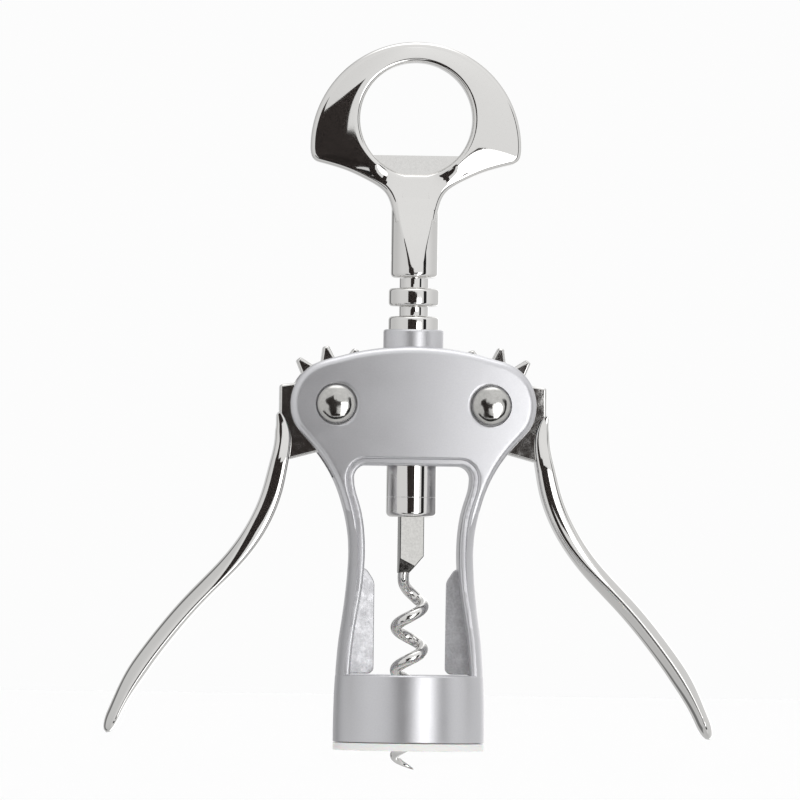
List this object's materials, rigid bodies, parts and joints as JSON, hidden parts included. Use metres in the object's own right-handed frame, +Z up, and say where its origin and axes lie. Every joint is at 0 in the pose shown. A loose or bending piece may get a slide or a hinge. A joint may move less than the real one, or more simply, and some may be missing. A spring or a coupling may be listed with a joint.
{
  "type": "wing corkscrew",
  "caption": "Wing corkscrew: geared levers move an annular rack and a worm in a bell-footed frame, and the handle is a crown-cap opener.",
  "frame": {"origin": "centre of the bell's mouth, at the bottle end of the tool, on the worm's axis", "axes": "+Z up the worm's axis to the handle, +X to the right-hand lever, +Y to the back, so the front looks along -Y and the levers swing in the XZ plane"},
  "size_m": [0.1454, 0.036, 0.1737],
  "materials": {
    "satin_nickel": "satin nickel plate on a zinc casting",
    "chrome": "bright chrome plate",
    "steel": "polished steel",
    "white_nylon": "moulded white nylon"
  },
  "bodies": {
    "frame": {"frame_casting": "satin_nickel", "bell_liner": "white_nylon", "pivot_pin_left": "chrome", "pin_cap_left": "chrome", "washer_left_front": "white_nylon", "washer_left_back": "white_nylon", "pivot_pin_right": "chrome", "pin_cap_right": "chrome", "washer_right_front": "white_nylon", "washer_right_back": "white_nylon"},
    "lever_left": {"lever_left": "chrome"},
    "lever_right": {"lever_right": "chrome"},
    "rack": {"rack_sleeve": "chrome"},
    "screw": {"opener_head": "chrome", "head_pin": "steel", "drive_rod": "steel", "worm_ferrule": "chrome", "worm": "steel"}
  },
  "joints": [
    {"name": "left_lever_pivot", "type": "hinge", "parent": "frame", "child": "lever_left", "pos_m": [-0.01845, 0, 0.0823], "axis": [0, 1, 0], "range_deg": [-31, 120]},
    {"name": "right_lever_pivot", "type": "hinge", "parent": "frame", "child": "lever_right", "pos_m": [0.01845, 0, 0.0823], "axis": [0, -1, 0], "range_deg": [-31, 120]},
    {"name": "rack_slide", "type": "slide", "parent": "frame", "child": "rack", "axis": [0, 0, 1], "range_m": [-0.02681, 0.00693]},
    {"name": "handle_spin", "type": "hinge", "parent": "rack", "child": "screw", "pos_m": [0, 0, 0.1], "axis": [0, 0, 1], "continuous": true}
  ],
  "couplings": [
    {"joint": "right_lever_pivot", "follows": "left_lever_pivot", "ratio": 1},
    {"joint": "rack_slide", "follows": "left_lever_pivot", "m_per_rad": -0.0128}
  ]
}
